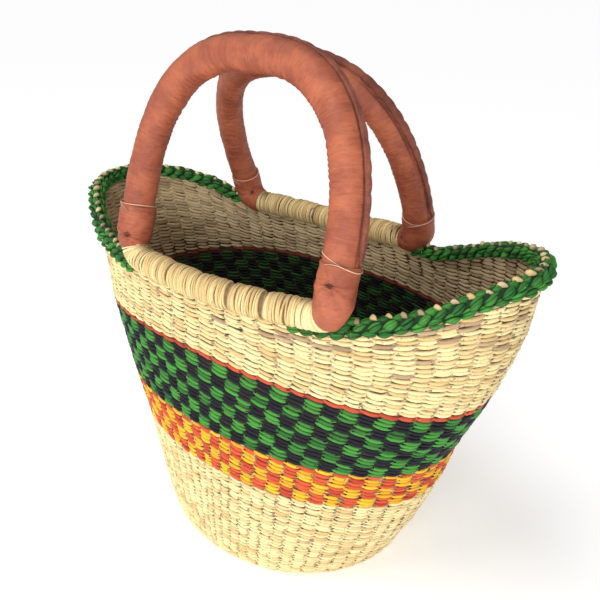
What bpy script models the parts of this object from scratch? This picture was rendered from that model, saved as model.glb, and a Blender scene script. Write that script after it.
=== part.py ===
"""A twined straw basket bag with two leather-covered handles.

Metres, +Z up. The origin is the middle of the base on the floor. +X runs along the
mouth to its right tip, and -Y is the side of the front handle.
"""
import math

import bmesh
import bpy
from mathutils import Vector

# Woven bag: its outside at the mouth and at the base
MOUTH_LENGTH = 0.391
MOUTH_WIDTH = 0.186
# How far the handmade wall strays along the mouth from straight above the base
STRAY = 0.004
BASE_LENGTH = 0.232
BASE_WIDTH = 0.200
WALL = 0.003

# Height of the rim line, the middle of the green braid
FRONT_RIM_HEIGHT = 0.239
REAR_RIM_HEIGHT = 0.229
LEFT_TIP_HEIGHT = 0.268
RIGHT_TIP_HEIGHT = 0.276
# How far the rows dip at the ends, because the ends flare more than the sides
END_DIP = 0.0135

# Green braid on the wall's edge; its ends thin out and tuck under the cuffs' bends
BRAID_WIDTH = 0.009
BRAID_HEIGHT = 0.010
BRAID_TUCK = 0.006
BRAID_TUCK_SHARE = 0.15

# Straw-wrapped rolls on the rim, between the feet of each handle
ROLL_LENGTH = 0.136
ROLL_WIDTH = 0.0185
ROLL_HEIGHT = 0.0195
ROLL_RISE = 0.0072
# The wall's edge lies this much lower under a cuff, and changes height over this stretch
CUFF_SEAT = 0.0045
EDGE_RAMP = 0.008
ROLL_BUNDLES = 5
BUNDLE_GROOVE = 0.0008

# Leather handles: one arch each, in a plane that leans over the mouth
HANDLE_THICKNESS = 0.0225
HANDLE_SPAN = 0.177
HANDLE_RISE = 0.150
HANDLE_FOOT_RISE = 0.008
HANDLE_SHOULDER = 0.024
HANDLE_SQUARENESS = 2.65
# How far a handle's crown stands to the side of its feet, at most
HANDLE_SWAY = 0.006
# The handle's foot stands a little inside the roll's own line
HANDLE_INSET = 0.0045

SEAM_WIDTH = 0.0034
SEAM_HEIGHT = 0.0030

# Share of an elbow's length that its curve keeps to the roll's and the leg's own way
ELBOW_ROUNDNESS = 0.58

CUFF_LEATHER = 0.0015
CUFF_SOCKET = 0.009
SOCKET_CLEARANCE = 0.0006

TIE_THREAD = 0.0014

# Gap between two pieces that touch
GAP = 0.0003

# Faces
WALL_SIDES = 64
TUBE_SIDES = 12
ARCH_STEPS = 34
ROLL_STEPS = 20
ELBOW_STEPS = 8

# Sections of the woven wall, from the floor up. Columns: height as a share of the front
# rim's height, how far from the base's size to the mouth's size the length and the width
# have got, squareness of the oval, and shares of the end dip, of the rim's own curve
# and of the wall's stray to the right.
SECTIONS = (
    # height, length, width, square, dip, rim, stray
    (0.000, -0.114, 1.32, 2.00, 0.00, 0.00, 0.0),
    (0.012, -0.039, 0.61, 2.00, 0.00, 0.00, 0.0),
    (0.052, 0.006, 0.00, 2.00, 0.00, 0.00, 0.1),
    (0.200, 0.170, -0.21, 2.00, 0.30, 0.00, 0.2),
    (0.408, 0.358, -0.11, 2.05, 0.57, 0.00, 0.3),
    (0.560, 0.474, -0.11, 2.18, 0.68, 0.00, 0.2),
    (0.803, 0.726, 0.68, 2.35, 1.00, 0.00, 0.2),
    (0.900, 0.875, 0.89, 2.22, 0.50, 0.50, 0.5),
    (1.000, 1.000, 1.00, 2.05, 0.00, 1.00, -0.6),
)
LEVELS = (0.0, 0.5, 1.0, 1.5, 2.0, 2.6, 3.2, 3.9, 4.6, 5.2, 5.8, 6.4, 7.0, 7.5, 8.0)
# The first level whose inside is wall and not floor
FIRST_INNER_LEVEL = 3

# How the rim climbs from the middle of a side to a tip. Columns: how far along to the
# tip, then the share of that tip's rise reached by then on each quarter of the rim.
RIM_CLIMB = (
    # along, front left, front right, rear left, rear right
    (0.00, 0.00, 0.00, 0.00, 0.00),
    (0.45, 0.05, 0.09, 0.10, 0.10),
    (0.60, 0.15, 0.22, 0.36, 0.34),
    (0.70, 0.30, 0.37, 0.60, 0.54),
    (0.80, 0.60, 0.58, 0.76, 0.72),
    (0.90, 0.88, 0.83, 0.90, 0.88),
    (1.00, 1.00, 1.00, 1.00, 1.00),
)

# The two handles. Columns: side of the bag, centre as a share of the mouth's length,
# lean over the mouth in degrees, span, rise and sway of the crown as shares of the named
# ones, and the height of each cuff's mouth above the handle's foot, as a share of the rise.
HANDLES = (
    # name, side, centre, lean, span, rise, sway, left cuff, right cuff
    ("front", -1, 0.033, 18.0, 1.00, 1.00, -0.2, 0.26, 0.27),
    ("rear", 1, -0.054, 21.0, 1.03, 0.98, -0.9, 0.20, 0.19),
)

STRAW = ("straw", (0.80, 0.64, 0.36), 0.75)
GREEN_STRAW = ("green straw", (0.07, 0.27, 0.07), 0.7)
LEATHER = ("leather", (0.45, 0.13, 0.06), 0.55)
DARK_LEATHER = ("dark leather", (0.16, 0.05, 0.03), 0.6)
THREAD = ("thread", (0.70, 0.48, 0.30), 0.7)


def clear_scene():
    for item in list(bpy.data.objects):
        bpy.data.objects.remove(item, do_unlink=True)


def make_material(look):
    name, colour, roughness = look
    if name in bpy.data.materials:
        return bpy.data.materials[name]
    material = bpy.data.materials.new(name)
    material.use_nodes = True
    shader = material.node_tree.nodes["Principled BSDF"]
    shader.inputs["Base Color"].default_value = (*colour, 1.0)
    shader.inputs["Roughness"].default_value = roughness
    shader.inputs["Metallic"].default_value = 0.0
    return material


def make_object(name, mesh_builder, look):
    """Turn a filled bmesh into a named, smooth-shaded object with its own material."""
    bmesh.ops.recalc_face_normals(mesh_builder, faces=mesh_builder.faces)
    mesh = bpy.data.meshes.new(name)
    mesh_builder.to_mesh(mesh)
    mesh_builder.free()
    mesh.materials.append(make_material(look))
    mesh.shade_smooth()
    mesh.set_sharp_from_angle(angle=math.radians(40))
    piece = bpy.data.objects.new(name, mesh)
    bpy.context.scene.collection.objects.link(piece)
    return piece


def loft(rings, closed=False):
    """Join rings of equal point counts, and cap the two ends or join them to each other."""
    builder = bmesh.new()
    verts = [[builder.verts.new(point) for point in ring] for ring in rings]
    pairs = list(zip(verts, verts[1:]))
    if closed:
        pairs.append((verts[-1], verts[0]))
    for low, high in pairs:
        for index, corner in enumerate(low):
            following = (index + 1) % len(low)
            builder.faces.new((corner, low[following], high[following], high[index]))
    if not closed:
        builder.faces.new(verts[0])
        builder.faces.new(verts[-1])
    return builder


def signed_power(value, power):
    return math.copysign(abs(value) ** power, value)


def smooth_between(table, row, share, column):
    """A column's value part of the way from a row to the next, on a smooth curve."""
    last = len(table) - 1
    start, end = table[row][column], table[row + 1][column]
    slope_start = (end - table[max(row - 1, 0)][column]) / 2
    slope_end = (table[min(row + 2, last)][column] - start) / 2
    square, cube = share ** 2, share ** 3
    value = (2 * cube - 3 * square + 1) * start + (3 * square - 2 * cube) * end
    return value + (cube - 2 * square + share) * slope_start + (cube - square) * slope_end


def section_at(level):
    """The columns of SECTIONS at a level between its rows."""
    row = min(int(level), len(SECTIONS) - 2)
    return [smooth_between(SECTIONS, row, level - row, column) for column in range(len(SECTIONS[0]))]


def rim_height(cosine, sine):
    """Height of the rim line at a place round the mouth."""
    middle = FRONT_RIM_HEIGHT if sine < 0 else REAR_RIM_HEIGHT
    tip = RIGHT_TIP_HEIGHT if cosine > 0 else LEFT_TIP_HEIGHT
    quarter = 1 + (1 if cosine > 0 else 0) + (2 if sine > 0 else 0)
    reach = min(abs(cosine), 1.0)
    row = 0
    while row < len(RIM_CLIMB) - 2 and RIM_CLIMB[row + 1][0] < reach:
        row += 1
    places = [RIM_CLIMB[index][0] for index in (row, row + 1)]
    share = (reach - places[0]) / (places[1] - places[0])
    climb = smooth_between(RIM_CLIMB, row, share, quarter)
    return middle + (tip - middle) * climb


def handle_centre(handle):
    """Where the middle of a handle stands along the mouth."""
    return handle[2] * MOUTH_LENGTH


def cuff_reach(handle):
    """How far along the mouth a handle's cuffs reach to each side of its centre."""
    return HANDLE_SPAN / 2 * handle[4] + HANDLE_THICKNESS / 2 + CUFF_LEATHER


def edge_drop(along, sine):
    """How far the woven wall's edge lies below the rim line: under braid, roll or cuff."""
    under_braid = BRAID_HEIGHT / 2 + GAP
    under_roll = ROLL_HEIGHT / 2 + GAP - ROLL_RISE
    handle = HANDLES[0] if sine < 0 else HANDLES[1]
    reach = abs(along - handle_centre(handle))
    share = min(max((cuff_reach(handle) - BRAID_TUCK - reach) / EDGE_RAMP, 0.0), 1.0)
    seat = CUFF_SEAT * min(max((reach - ROLL_LENGTH / 2) / EDGE_RAMP, 0.0), 1.0)
    return under_braid + (under_roll + seat - under_braid) * share


def wall_point(angle, level):
    """A point on the outside of the woven wall."""
    height, length, width, square, dip, rim, stray = section_at(level)
    cosine, sine = math.cos(angle), math.sin(angle)
    half_length = (BASE_LENGTH + (MOUTH_LENGTH - BASE_LENGTH) * length) / 2
    half_width = (BASE_WIDTH + (MOUTH_WIDTH - BASE_WIDTH) * width) / 2
    along = half_length * signed_power(cosine, 2 / square) + STRAY * stray
    across = half_width * signed_power(sine, 2 / square)
    mouth_along = MOUTH_LENGTH / 2 * cosine + STRAY * SECTIONS[-1][6]
    edge = rim_height(cosine, sine) - edge_drop(mouth_along, sine)
    up = height * FRONT_RIM_HEIGHT - dip * END_DIP * cosine * cosine
    up += rim * (edge - FRONT_RIM_HEIGHT)
    return Vector((along, across, up))


def wall_normal(angle, level):
    step = 0.01
    last = len(SECTIONS) - 1
    low, high = max(level - step, 0.0), min(level + step, last)
    round_way = wall_point(angle + step, level) - wall_point(angle - step, level)
    up_way = wall_point(angle, high) - wall_point(angle, low)
    return round_way.cross(up_way).normalized()


def inner_point(angle, level):
    """The point across the wall from wall_point, never below the bag's floor."""
    point = wall_point(angle, level) - wall_normal(angle, level) * WALL
    point.z = max(point.z, WALL)
    if level == len(SECTIONS) - 1:
        point.z = wall_point(angle, level).z
    return point


def edge_middle(angle):
    """The middle of the wall's top edge, and the level direction out of the bag there."""
    top = len(SECTIONS) - 1
    outer, inner = wall_point(angle, top), inner_point(angle, top)
    outward = outer - inner
    outward.z = 0.0
    return (outer + inner) / 2, outward.normalized()


def angle_at(along, side):
    """The angle round the mouth at a place along it, on one side of the bag."""
    _, _, _, square, _, _, stray = SECTIONS[-1]
    reach = (along - STRAY * stray) / (MOUTH_LENGTH / 2 - WALL / 2)
    share = signed_power(reach, square / 2)
    return side * math.acos(share)


def make_body():
    angles = [2 * math.pi * index / WALL_SIDES for index in range(WALL_SIDES)]
    rings = [[wall_point(angle, level) for angle in angles] for level in LEVELS]
    inside = [[inner_point(angle, level) for angle in angles] for level in LEVELS[FIRST_INNER_LEVEL:]]
    floor = [Vector((point.x, point.y, WALL)) for point in rings[0]]
    rings += reversed(inside)
    rings.append(floor)
    return make_object("basket_body", loft(rings), STRAW)


def braid_ring(angle, size=1.0):
    """Section of the braid: flat where it sits on the wall's edge, round on top."""
    middle, outward = edge_middle(angle)
    half = BRAID_WIDTH / 2
    outline = (
        (-0.6, 0.0), (0.6, 0.0), (1.0, 0.3), (0.92, 0.7), (0.45, 1.0),
        (-0.45, 1.0), (-0.92, 0.7), (-1.0, 0.3),
    )
    ring = []
    for out, up in outline:
        ring.append(middle + outward * half * out + Vector((0, 0, GAP + BRAID_HEIGHT * up * size)))
    return ring


def braid_ends(end, past):
    """Angles of a braid's front and rear ends, this far past the cuffs' own reach."""
    places = [handle_centre(handle) + end * (cuff_reach(handle) + past) for handle in HANDLES]
    front, rear = [angle_at(place, handle[1]) for place, handle in zip(places, HANDLES)]
    if end < 0:
        front += 2 * math.pi
    return sorted((front, rear))


def make_braid(name, end):
    """The green braid round one end of the mouth, from cuff to cuff."""
    low, high = braid_ends(end, GAP)
    step = 2 * math.pi / WALL_SIDES
    between = [index * step for index in range(-WALL_SIDES, WALL_SIDES) if low < index * step < high]
    rings = [braid_ring(angle) for angle in [low] + between + [high]]
    tucked = [braid_ring(angle, BRAID_TUCK_SHARE) for angle in braid_ends(end, GAP - BRAID_TUCK)]
    return make_object(name, loft(tucked[:1] + rings + tucked[1:]), GREEN_STRAW)


def roll_middle(handle, along):
    """The middle of a roll at a place along it, measured from the handle's own centre."""
    middle, _ = edge_middle(angle_at(handle_centre(handle) + along, handle[1]))
    middle.z += GAP + ROLL_HEIGHT / 2
    return middle


def roll_way(handle, along):
    """The roll's own direction, towards the right, at a place along it."""
    step = 0.001
    return (roll_middle(handle, along + step) - roll_middle(handle, along - step)).normalized()


def oval_ring(middle, forward, up, half_width, half_height):
    """Points round a straight section through middle, with a flat side underneath."""
    across = forward.cross(up).normalized()
    upright = across.cross(forward).normalized()
    ring = []
    for index in range(TUBE_SIDES):
        turn = 2 * math.pi * (index + 0.5) / TUBE_SIDES
        ring.append(middle + across * half_width * math.sin(turn) + upright * half_height * math.cos(turn))
    return ring


def make_roll(name, handle):
    """A roll of straw wound over the rim, with a shallow groove between its bundles."""
    half = ROLL_LENGTH / 2
    flat_side = math.cos(math.pi / TUBE_SIDES)
    rings = []
    for step in range(ROLL_STEPS + 1):
        along = -half + 2 * half * step / ROLL_STEPS
        middle = roll_middle(handle, along)
        crest = abs(math.sin(math.pi * ROLL_BUNDLES * step / ROLL_STEPS))
        groove = BUNDLE_GROOVE * (1 - crest)
        half_width = ROLL_WIDTH / 2 - groove
        half_height = (ROLL_HEIGHT / 2 - groove / 2) / flat_side
        rings.append(oval_ring(middle, roll_way(handle, along), Vector((0, 0, 1)), half_width, half_height))
    return make_object(name, loft(rings), STRAW)


def lean_axes(handle):
    """Up and outward directions of a handle's leaning plane, and its foot's middle."""
    side, lean = handle[1], handle[3]
    up = Vector((0, -side * math.sin(math.radians(lean)), math.cos(math.radians(lean))))
    across = Vector((0, side * math.cos(math.radians(lean)), math.sin(math.radians(lean))))
    rim = FRONT_RIM_HEIGHT if side < 0 else REAR_RIM_HEIGHT
    foot = Vector((handle_centre(handle), side * (MOUTH_WIDTH / 2 - HANDLE_INSET), rim + HANDLE_FOOT_RISE))
    return up, across, foot


def arch_point(handle, turn):
    """A point on the middle of a handle's arch: 0 is its right shoulder, pi its left."""
    up, _, foot = lean_axes(handle)
    span, size, sway = handle[4:7]
    power = 2 / HANDLE_SQUARENESS
    along = HANDLE_SPAN / 2 * span * signed_power(math.cos(turn), power)
    crown = HANDLE_RISE - HANDLE_SHOULDER
    rise = HANDLE_SHOULDER + crown * signed_power(math.sin(turn), power)
    along += HANDLE_SWAY * sway * (rise / HANDLE_RISE) ** 2
    return foot + Vector((along, 0, 0)) + up * rise * size


def elbow_point(handle, end, share):
    """The bend from a roll's end, at share 0, to the shoulder of the arch, at share 1."""
    up, _, _ = lean_axes(handle)
    half = ROLL_LENGTH / 2
    start = roll_middle(handle, end * half)
    start_way = roll_way(handle, end * half) * end
    finish = arch_point(handle, 0.0 if end > 0 else math.pi)
    reach = (finish - start).length * ELBOW_ROUNDNESS
    points = (start, start + start_way * reach, finish - up * reach, finish)
    rest = 1 - share
    weights = (rest ** 3, 3 * rest * rest * share, 3 * rest * share * share, share ** 3)
    return sum((point * weight for point, weight in zip(points, weights)), Vector())


def turn_at_rise(handle, end, rise):
    """The arch angle at a height above the foot, on one leg."""
    crown = HANDLE_RISE - HANDLE_SHOULDER
    share = max(rise / handle[5] - HANDLE_SHOULDER, 0.0) / crown
    turn = math.asin(min(share ** (HANDLE_SQUARENESS / 2), 1.0))
    return turn if end > 0 else math.pi - turn


def tube_ring(middle, forward, across, radius):
    """Points round a tube, with a flat side to the outside of its bend."""
    outward = forward.cross(across).normalized()
    sideways = outward.cross(forward).normalized()
    ring = []
    for index in range(TUBE_SIDES):
        turn = 2 * math.pi * (index + 0.5) / TUBE_SIDES
        ring.append(middle + outward * radius * math.cos(turn) + sideways * radius * math.sin(turn))
    return ring


def arch_way(handle, turn):
    """Direction of the arch, from its right leg over to its left."""
    step = 0.004
    start, finish = max(turn - step, 1e-6), min(turn + step, math.pi - 1e-6)
    return (arch_point(handle, finish) - arch_point(handle, start)).normalized()


def cuff_mouth(handle, end):
    share = handle[7] if end < 0 else handle[8]
    return share * HANDLE_RISE * handle[5]


def arch_turns(handle, low_right, low_left):
    """Arch angles from one leg to the other, evenly spaced along the arch's length."""
    first = turn_at_rise(handle, 1, low_right)
    last = turn_at_rise(handle, -1, low_left)
    fine = [first + (last - first) * step / 400 for step in range(401)]
    points = [arch_point(handle, turn) for turn in fine]
    lengths = [0.0]
    for before, after in zip(points, points[1:]):
        lengths.append(lengths[-1] + (after - before).length)
    turns = []
    index = 0
    for step in range(ARCH_STEPS + 1):
        wanted = lengths[-1] * step / ARCH_STEPS
        while index < len(fine) - 2 and lengths[index + 1] < wanted:
            index += 1
        share = (wanted - lengths[index]) / (lengths[index + 1] - lengths[index])
        turns.append(fine[index] + (fine[index + 1] - fine[index]) * min(share, 1.0))
    return turns


def handle_turns(handle):
    seat = CUFF_SOCKET - GAP
    return arch_turns(handle, cuff_mouth(handle, 1) - seat, cuff_mouth(handle, -1) - seat)


def make_handle(name, handle):
    _, across, _ = lean_axes(handle)
    rings = []
    for turn in handle_turns(handle):
        middle = arch_point(handle, turn)
        rings.append(tube_ring(middle, arch_way(handle, turn), across, HANDLE_THICKNESS / 2))
    return make_object(name, loft(rings), LEATHER)


def make_seam(name, handle):
    """The laced ridge along the outer side of a handle, from thread to thread."""
    # Taken towards the front on both handles, so that outward is up at the top of each arch
    across = lean_axes(handle)[1] * -handle[1]
    above_tie = TIE_THREAD + 2 * GAP
    flat_side = HANDLE_THICKNESS / 2 * math.cos(math.pi / TUBE_SIDES)
    low = [cuff_mouth(handle, end) + above_tie for end in (1, -1)]
    first, last = turn_at_rise(handle, 1, low[0]), turn_at_rise(handle, -1, low[1])
    turns = [turn for turn in handle_turns(handle) if first < turn < last]
    rings = []
    for turn in [first] + turns + [last]:
        middle = arch_point(handle, turn)
        outward = arch_way(handle, turn).cross(across).normalized()
        base = middle + outward * (flat_side + GAP)
        half = SEAM_WIDTH / 2
        outline = ((-1.0, 0.0), (1.0, 0.0), (0.8, 0.7), (0.0, 1.0), (-0.8, 0.7))
        rings.append([base + across * half * side + outward * SEAM_HEIGHT * rise for side, rise in outline])
    return make_object(name, loft(rings), DARK_LEATHER)


def cuff_path(handle, end):
    """Middle points of a cuff and their directions, from the roll's end to its mouth."""
    mouth = cuff_mouth(handle, end)
    points = [elbow_point(handle, end, step / ELBOW_STEPS) for step in range(ELBOW_STEPS + 1)]
    first_turn = 0.0 if end > 0 else math.pi
    last_turn = turn_at_rise(handle, end, mouth)
    for step in range(1, 4):
        points.append(arch_point(handle, first_turn + (last_turn - first_turn) * (step / 3) ** 1.6))
    ways = []
    for index, _ in enumerate(points):
        before, after = points[max(index - 1, 0)], points[min(index + 1, len(points) - 1)]
        ways.append((after - before).normalized())
    ways[0] = roll_way(handle, end * ROLL_LENGTH / 2) * end
    points[0] = points[0] + ways[0] * GAP
    return points, ways


def make_cuff(name, handle, end):
    """A leather boot over a handle's foot, with a socket that takes the handle's end."""
    _, across, _ = lean_axes(handle)
    points, ways = cuff_path(handle, end)
    outer = HANDLE_THICKNESS / 2 + CUFF_LEATHER
    socket = HANDLE_THICKNESS / 2 + SOCKET_CLEARANCE
    narrow = ROLL_WIDTH / 2
    rings = []
    for index, (point, way) in enumerate(zip(points, ways)):
        swell = min(index / (ELBOW_STEPS * 0.6), 1.0)
        rings.append(tube_ring(point, way, across * end, narrow + (outer - narrow) * swell))
    bottom_turn = turn_at_rise(handle, end, cuff_mouth(handle, end) - CUFF_SOCKET)
    bottom = arch_point(handle, bottom_turn)
    bottom_way = arch_way(handle, bottom_turn) * end
    rings.append(tube_ring(points[-1], ways[-1], across * end, socket))
    rings.append(tube_ring(bottom, bottom_way, across * end, socket))
    return make_object(name, loft(rings), LEATHER)


def make_tie(name, handle, end):
    """A ring of thread round the handle, just above its cuff."""
    _, across, _ = lean_axes(handle)
    thread = TIE_THREAD / 2
    turn = turn_at_rise(handle, end, cuff_mouth(handle, end) + GAP + thread)
    middle, way = arch_point(handle, turn), arch_way(handle, turn)
    outward = way.cross(across).normalized()
    radius = HANDLE_THICKNESS / 2 + GAP + thread
    rings = []
    for index in range(TUBE_SIDES):
        spoke_turn = 2 * math.pi * (index + 0.5) / TUBE_SIDES
        spoke = outward * math.cos(spoke_turn) + across * math.sin(spoke_turn)
        centre = middle + spoke * radius
        ring = []
        for corner in range(5):
            bend = 2 * math.pi * corner / 5
            ring.append(centre + (spoke * math.cos(bend) + way * math.sin(bend)) * thread)
        rings.append(ring)
    return make_object(name, loft(rings, closed=True), THREAD)


def main():
    clear_scene()
    make_body()
    make_braid("rim_braid_left", -1)
    make_braid("rim_braid_right", 1)
    for handle in HANDLES:
        name = handle[0]
        make_roll(f"rim_roll_{name}", handle)
        make_handle(f"handle_{name}", handle)
        make_seam(f"handle_seam_{name}", handle)
        for end, end_name in ((-1, "left"), (1, "right")):
            make_cuff(f"cuff_{name}_{end_name}", handle, end)
            make_tie(f"tie_{name}_{end_name}", handle, end)


main()
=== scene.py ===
# %% [markdown]
# # A straw basket bag with leather handles
#
# The real bag is twined by hand. Stiff ribs of grass stand round an oval base, and two
# strands of straw run round and round them, crossing between each rib and the next. Each
# place where a strand passes over a rib shows as a short, fat, drooping stitch, and the
# whole bag is a few thousand of them. The rim is a braid of dyed green straw. Two arches
# bound in leather stand on it, each on a roll of straw that is wound over the rim.
#
# The lesson starts from the plain solids of the bag, which fix its size and place. Each
# step then makes one part of what the eye sees, in metres, where the solid stands.

# %% Load the solids and keep their size
import math
from collections import namedtuple

import bmesh
import bpy
import numpy as np
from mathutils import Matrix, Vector, noise


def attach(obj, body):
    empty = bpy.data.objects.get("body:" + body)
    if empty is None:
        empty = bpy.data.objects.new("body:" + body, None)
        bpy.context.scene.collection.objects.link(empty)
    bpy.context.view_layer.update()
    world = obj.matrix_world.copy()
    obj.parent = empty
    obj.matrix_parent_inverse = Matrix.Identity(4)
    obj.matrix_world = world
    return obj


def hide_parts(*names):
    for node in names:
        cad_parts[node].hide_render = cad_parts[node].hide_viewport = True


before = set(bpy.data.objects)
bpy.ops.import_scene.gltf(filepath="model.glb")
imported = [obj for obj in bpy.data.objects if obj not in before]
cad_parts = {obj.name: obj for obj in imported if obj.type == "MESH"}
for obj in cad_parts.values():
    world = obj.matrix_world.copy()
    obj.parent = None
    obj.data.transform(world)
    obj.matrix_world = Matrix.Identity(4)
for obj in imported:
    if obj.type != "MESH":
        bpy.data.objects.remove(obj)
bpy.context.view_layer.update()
BODY = "root"
print("solids:", len(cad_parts))

# %% [markdown]
# ## The woven wall as a surface
#
# Every stitch needs to know where the wall is and which way it faces. A painter of maps
# uses two numbers for a place on the globe, and so does this wall: an angle round the
# bag, and a level that runs from 0 on the floor to 8 on the rim. A short table says how
# the oval grows from the base to the mouth, and a smooth curve joins its rows. Writing
# the surface as a function means that any number of stitches can be laid on it at once.

# %% Sizes of the woven wall, in metres
MOUTH_LENGTH = 0.391
MOUTH_WIDTH = 0.186
STRAY = 0.004
BASE_LENGTH = 0.232
BASE_WIDTH = 0.200
WALL = 0.003
FRONT_RIM_HEIGHT = 0.239
REAR_RIM_HEIGHT = 0.229
LEFT_TIP_HEIGHT = 0.268
RIGHT_TIP_HEIGHT = 0.276
END_DIP = 0.0135
EDGE_BELOW_RIM = 0.0018

# Columns: height, length, width, squareness, dip, rim, stray
SECTIONS = np.array([
    (0.000, -0.114, 1.32, 2.00, 0.00, 0.00, 0.0),
    (0.012, -0.039, 0.61, 2.00, 0.00, 0.00, 0.0),
    (0.052, 0.006, 0.00, 2.00, 0.00, 0.00, 0.1),
    (0.200, 0.170, -0.21, 2.00, 0.30, 0.00, 0.2),
    (0.408, 0.358, -0.11, 2.05, 0.57, 0.00, 0.3),
    (0.560, 0.474, -0.11, 2.18, 0.68, 0.00, 0.2),
    (0.803, 0.726, 0.68, 2.35, 1.00, 0.00, 0.2),
    (0.900, 0.875, 0.89, 2.22, 0.50, 0.50, 0.5),
    (1.000, 1.000, 1.00, 2.05, 0.00, 1.00, -0.6),
])
TOP_LEVEL = len(SECTIONS) - 1

# Columns: how far along to the tip, then the climb on each quarter of the rim
RIM_CLIMB = np.array([
    (0.00, 0.00, 0.00, 0.00, 0.00),
    (0.45, 0.05, 0.09, 0.10, 0.10),
    (0.60, 0.15, 0.22, 0.36, 0.34),
    (0.70, 0.30, 0.37, 0.60, 0.54),
    (0.80, 0.60, 0.58, 0.76, 0.72),
    (0.90, 0.88, 0.83, 0.90, 0.88),
    (1.00, 1.00, 1.00, 1.00, 1.00),
])

# %% Functions of the woven wall
def signed_power(value, power):
    return np.sign(value) * np.abs(value) ** power


def distances(line):
    """How far along a line each of its points lies."""
    return np.concatenate([[0], np.cumsum(np.linalg.norm(np.diff(line, axis=0), axis=1))])


def smooth_rows(table, rows, share, column):
    """A column's values part of the way from some rows to the next ones."""
    last = len(table) - 1
    start, end = table[rows, column], table[rows + 1, column]
    before, after = table[np.maximum(rows - 1, 0), column], table[np.minimum(rows + 2, last), column]
    square, cube = share ** 2, share ** 3
    curve = (2 * cube - 3 * square + 1) * start + (3 * square - 2 * cube) * end
    return curve + (cube - 2 * square + share) * (end - before) / 2 + (cube - square) * (after - start) / 2


def rim_line(angle):
    """Height of the middle of the rim's braid."""
    cosine, sine = np.cos(angle), np.sin(angle)
    middle = np.where(sine < 0, FRONT_RIM_HEIGHT, REAR_RIM_HEIGHT)
    tip = np.where(cosine > 0, RIGHT_TIP_HEIGHT, LEFT_TIP_HEIGHT)
    quarter = 1 + (cosine > 0) + 2 * (sine > 0)
    reach = np.minimum(np.abs(cosine), 1.0)
    rows = np.clip(np.searchsorted(RIM_CLIMB[:, 0], reach) - 1, 0, len(RIM_CLIMB) - 2)
    share = (reach - RIM_CLIMB[rows, 0]) / (RIM_CLIMB[rows + 1, 0] - RIM_CLIMB[rows, 0])
    return middle + (tip - middle) * smooth_rows(RIM_CLIMB, rows, share, quarter)


def wall_at(angle, level):
    """Points on the outside of the woven wall."""
    angle, level = np.broadcast_arrays(np.asarray(angle, float), np.asarray(level, float))
    rows = np.minimum(level.astype(int), TOP_LEVEL - 1)
    share = level - rows
    height, length, width, square, dip, rim, stray = (
        smooth_rows(SECTIONS, rows, share, column) for column in range(7))
    cosine, sine = np.cos(angle), np.sin(angle)
    half_length = (BASE_LENGTH + (MOUTH_LENGTH - BASE_LENGTH) * length) / 2
    half_width = (BASE_WIDTH + (MOUTH_WIDTH - BASE_WIDTH) * width) / 2
    along = half_length * signed_power(cosine, 2 / square) + STRAY * stray
    across = half_width * signed_power(sine, 2 / square)
    up = height * FRONT_RIM_HEIGHT - dip * END_DIP * cosine ** 2
    up = up + rim * (rim_line(angle) - EDGE_BELOW_RIM - FRONT_RIM_HEIGHT)
    return np.stack([along, across, up], axis=-1)


def unit(vectors):
    return vectors / np.maximum(np.linalg.norm(vectors, axis=-1, keepdims=True), 1e-12)


def wall_axes(angle, level):
    """Three directions on the wall: round the bag, up it, and out of it."""
    step = 0.01
    high, low = np.minimum(level + step, TOP_LEVEL), np.maximum(level - step, 0.0)
    round_way = unit(wall_at(angle + step, level) - wall_at(angle - step, level))
    up_way = wall_at(angle, high) - wall_at(angle, low)
    outward = unit(np.cross(round_way, up_way))
    return round_way, np.cross(outward, round_way), outward


# %% [markdown]
# ## The camera
#
# The photograph looks down on the bag from its front right. Blender's camera takes the
# same place: 28 degrees above the floor, 38 degrees round to the right, and half a metre
# away. So near a camera makes the front of the bag large and the far handle small.

# %% Camera at the photograph's angle
CAMERA_TARGET = Vector((0.00601, 0.00932, 0.19621))
CAMERA_DISTANCE = 0.51554
CAMERA_TURN = math.radians(37.59)
CAMERA_RISE = math.radians(27.676)

towards_camera = Vector((
    math.sin(CAMERA_TURN) * math.cos(CAMERA_RISE),
    -math.cos(CAMERA_TURN) * math.cos(CAMERA_RISE),
    math.sin(CAMERA_RISE),
))
bpy.ops.object.camera_add(location=CAMERA_TARGET + towards_camera * CAMERA_DISTANCE)
camera = bpy.context.object
camera.rotation_euler = towards_camera.to_track_quat("Z", "Y").to_euler()
camera.data.lens = 37.903
camera.data.sensor_width = 36.0
camera.data.clip_start = 0.01
bpy.context.scene.camera = camera
print("camera height:", round(camera.location.z, 3))

# %% [markdown]
# ## Floor and light
#
# The bag stands on white, with a soft shadow at its foot and no hard edge of light. The
# floor glows a little, like a light table, and throws light up on the walls, which lean
# outwards. One broad panel stands low in front: it reaches the outside of the bag, but
# the front wall keeps it from the deep inside, which stays dark. A broad sun, high on
# the left, gives the stitches and the leather their form. The sky is dim as a light, and
# white where the camera looks straight at it.

# %% Floor, sky and sun
FLOOR_SIZE = 30.0
FLOOR_COLOUR = (0.93, 0.93, 0.93, 1.0)
FLOOR_GLOW = 0.31
WHITE = (1.0, 1.0, 1.0, 1.0)
SKY_STRENGTH = 0.36
SUN_DIRECTION = Vector((-0.42, -0.38, 1.0))
SUN_SPREAD = math.radians(40)
SUN_STRENGTH = 1.35
PANEL_PLACE = Vector((0.50, -1.20, 0.52))
PANEL_AIM = Vector((0.0, 0.0, 0.16))
PANEL_SIZE = (1.4, 0.45)
PANEL_POWER = 13

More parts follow.
